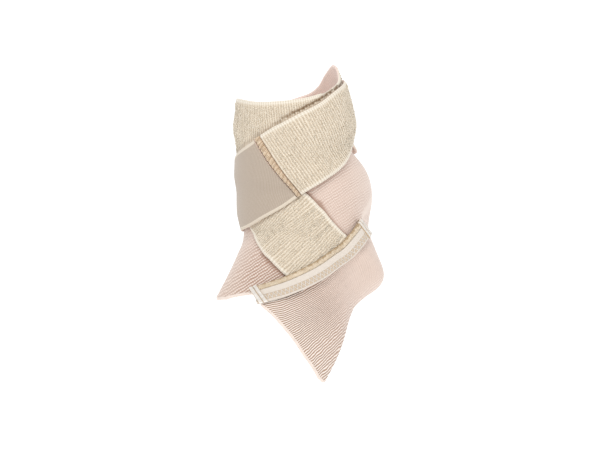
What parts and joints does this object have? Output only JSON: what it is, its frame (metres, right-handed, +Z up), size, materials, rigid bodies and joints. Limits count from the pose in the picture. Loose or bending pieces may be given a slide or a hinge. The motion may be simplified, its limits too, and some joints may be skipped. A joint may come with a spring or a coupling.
{
  "type": "ankle brace",
  "caption": "Wrap-around elastic ankle brace: open-heel ribbed sleeve with a lapped instep seam and a long loop-pile strap wound round the ankle and closed by a hook tab",
  "frame": {"origin": "centre of the ankle, in the hollow that the lower leg and the foot go through", "axes": "+Z up along the lower leg, -Y towards the toes, +X to the outer side of the foot"},
  "size_m": [0.101, 0.1335, 0.2061],
  "materials": {
    "foot_sleeve": "pink-beige ribbed elastic knit",
    "wrap_strap": "cream elastic band with loop pile outside and a pink-beige inner face",
    "strap_end_bead": "tan overcast thread",
    "hook_tab": "smooth beige knit",
    "seam_tape": "white woven tape with zigzag stitch",
    "seam_edge": "tan overcast edge",
    "bar_tack_front": "white bar tack stitching",
    "bar_tack_side": "white bar tack stitching"
  },
  "bodies": {
    "root": {"foot_sleeve": "foot_sleeve", "wrap_strap": "wrap_strap", "strap_end_bead": "strap_end_bead", "hook_tab": "hook_tab", "seam_tape": "seam_tape", "seam_edge": "seam_edge", "bar_tack_front": "bar_tack_front", "bar_tack_side": "bar_tack_side"}
  },
  "joints": []
}
